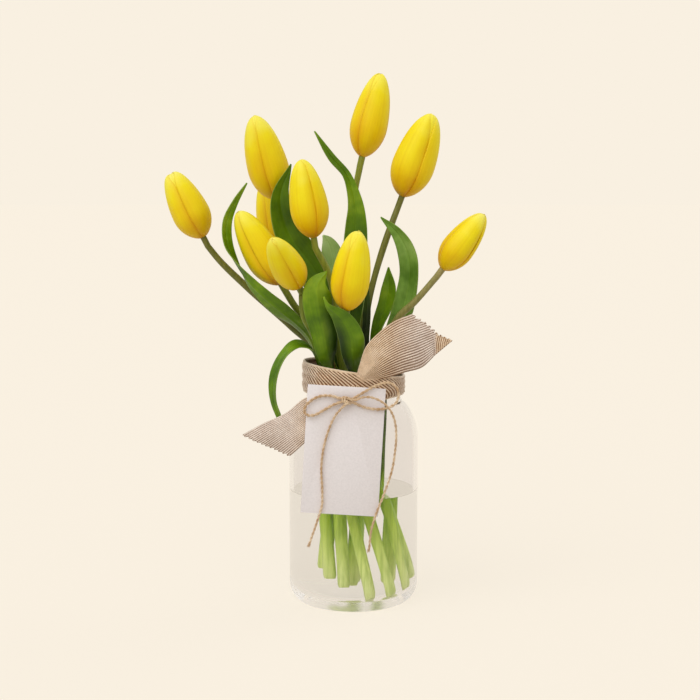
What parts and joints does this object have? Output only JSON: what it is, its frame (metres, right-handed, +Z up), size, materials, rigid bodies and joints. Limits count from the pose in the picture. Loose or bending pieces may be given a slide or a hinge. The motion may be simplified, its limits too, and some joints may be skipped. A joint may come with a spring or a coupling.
{
  "type": "tulips in a jar",
  "caption": "Closed yellow tulips with green leaves standing in a clear glass preserving jar of water, tied with a burlap ribbon, a blank card and a twine bow.",
  "frame": {"origin": "middle of the jar's flat base, on the surface that it stands on", "axes": "+Z up through the jar's middle, -Y towards the front with the card, +X to the right of the front view"},
  "size_m": [0.2386, 0.1359, 0.398],
  "materials": {
    "glass": "clear smooth soda-lime glass",
    "water": "clear still water",
    "stem": "fresh tulip stem, satin, brown-green above the water and pale green in it",
    "leaf": "fresh tulip leaf with fine lengthwise veins and a waxy bloom",
    "petal": "satin yellow tulip petal, deeper at the base, with fine lengthwise veins",
    "burlap": "coarse ribbed jute weave, matte",
    "card": "off-white uncoated card, blank",
    "twine": "two-ply jute twine, matte and hairy"
  },
  "bodies": {
    "root": {"jar": "glass", "water": "water", "tulip_01_stem": "stem", "tulip_01_bloom": "petal", "tulip_02_stem": "stem", "tulip_02_bloom": "petal", "tulip_03_stem": "stem", "tulip_03_bloom": "petal", "tulip_04_stem": "stem", "tulip_04_bloom": "petal", "tulip_05_stem": "stem", "tulip_05_bloom": "petal", "tulip_06_stem": "stem", "tulip_06_bloom": "petal", "tulip_07_stem": "stem", "tulip_07_bloom": "petal", "tulip_08_stem": "stem", "tulip_08_bloom": "petal", "tulip_09_stem": "stem", "tulip_09_bloom": "petal", "tulip_10_stem": "stem", "tulip_10_bloom": "petal", "leaf_left_long": "leaf", "leaf_left_drooping": "leaf", "leaf_dark_broad": "leaf", "leaf_tall": "leaf", "leaf_pale_back": "leaf", "leaf_right_arching": "leaf", "leaf_right_small": "leaf", "leaf_front_broad": "leaf", "leaf_front_curled": "leaf", "leaf_narrow_back": "leaf", "ribbon": "burlap", "card": "card", "twine_knot": "twine", "twine_loop_left": "twine", "twine_loop_right": "twine", "twine_tail_left": "twine", "twine_tail_right": "twine"}
  },
  "joints": []
}
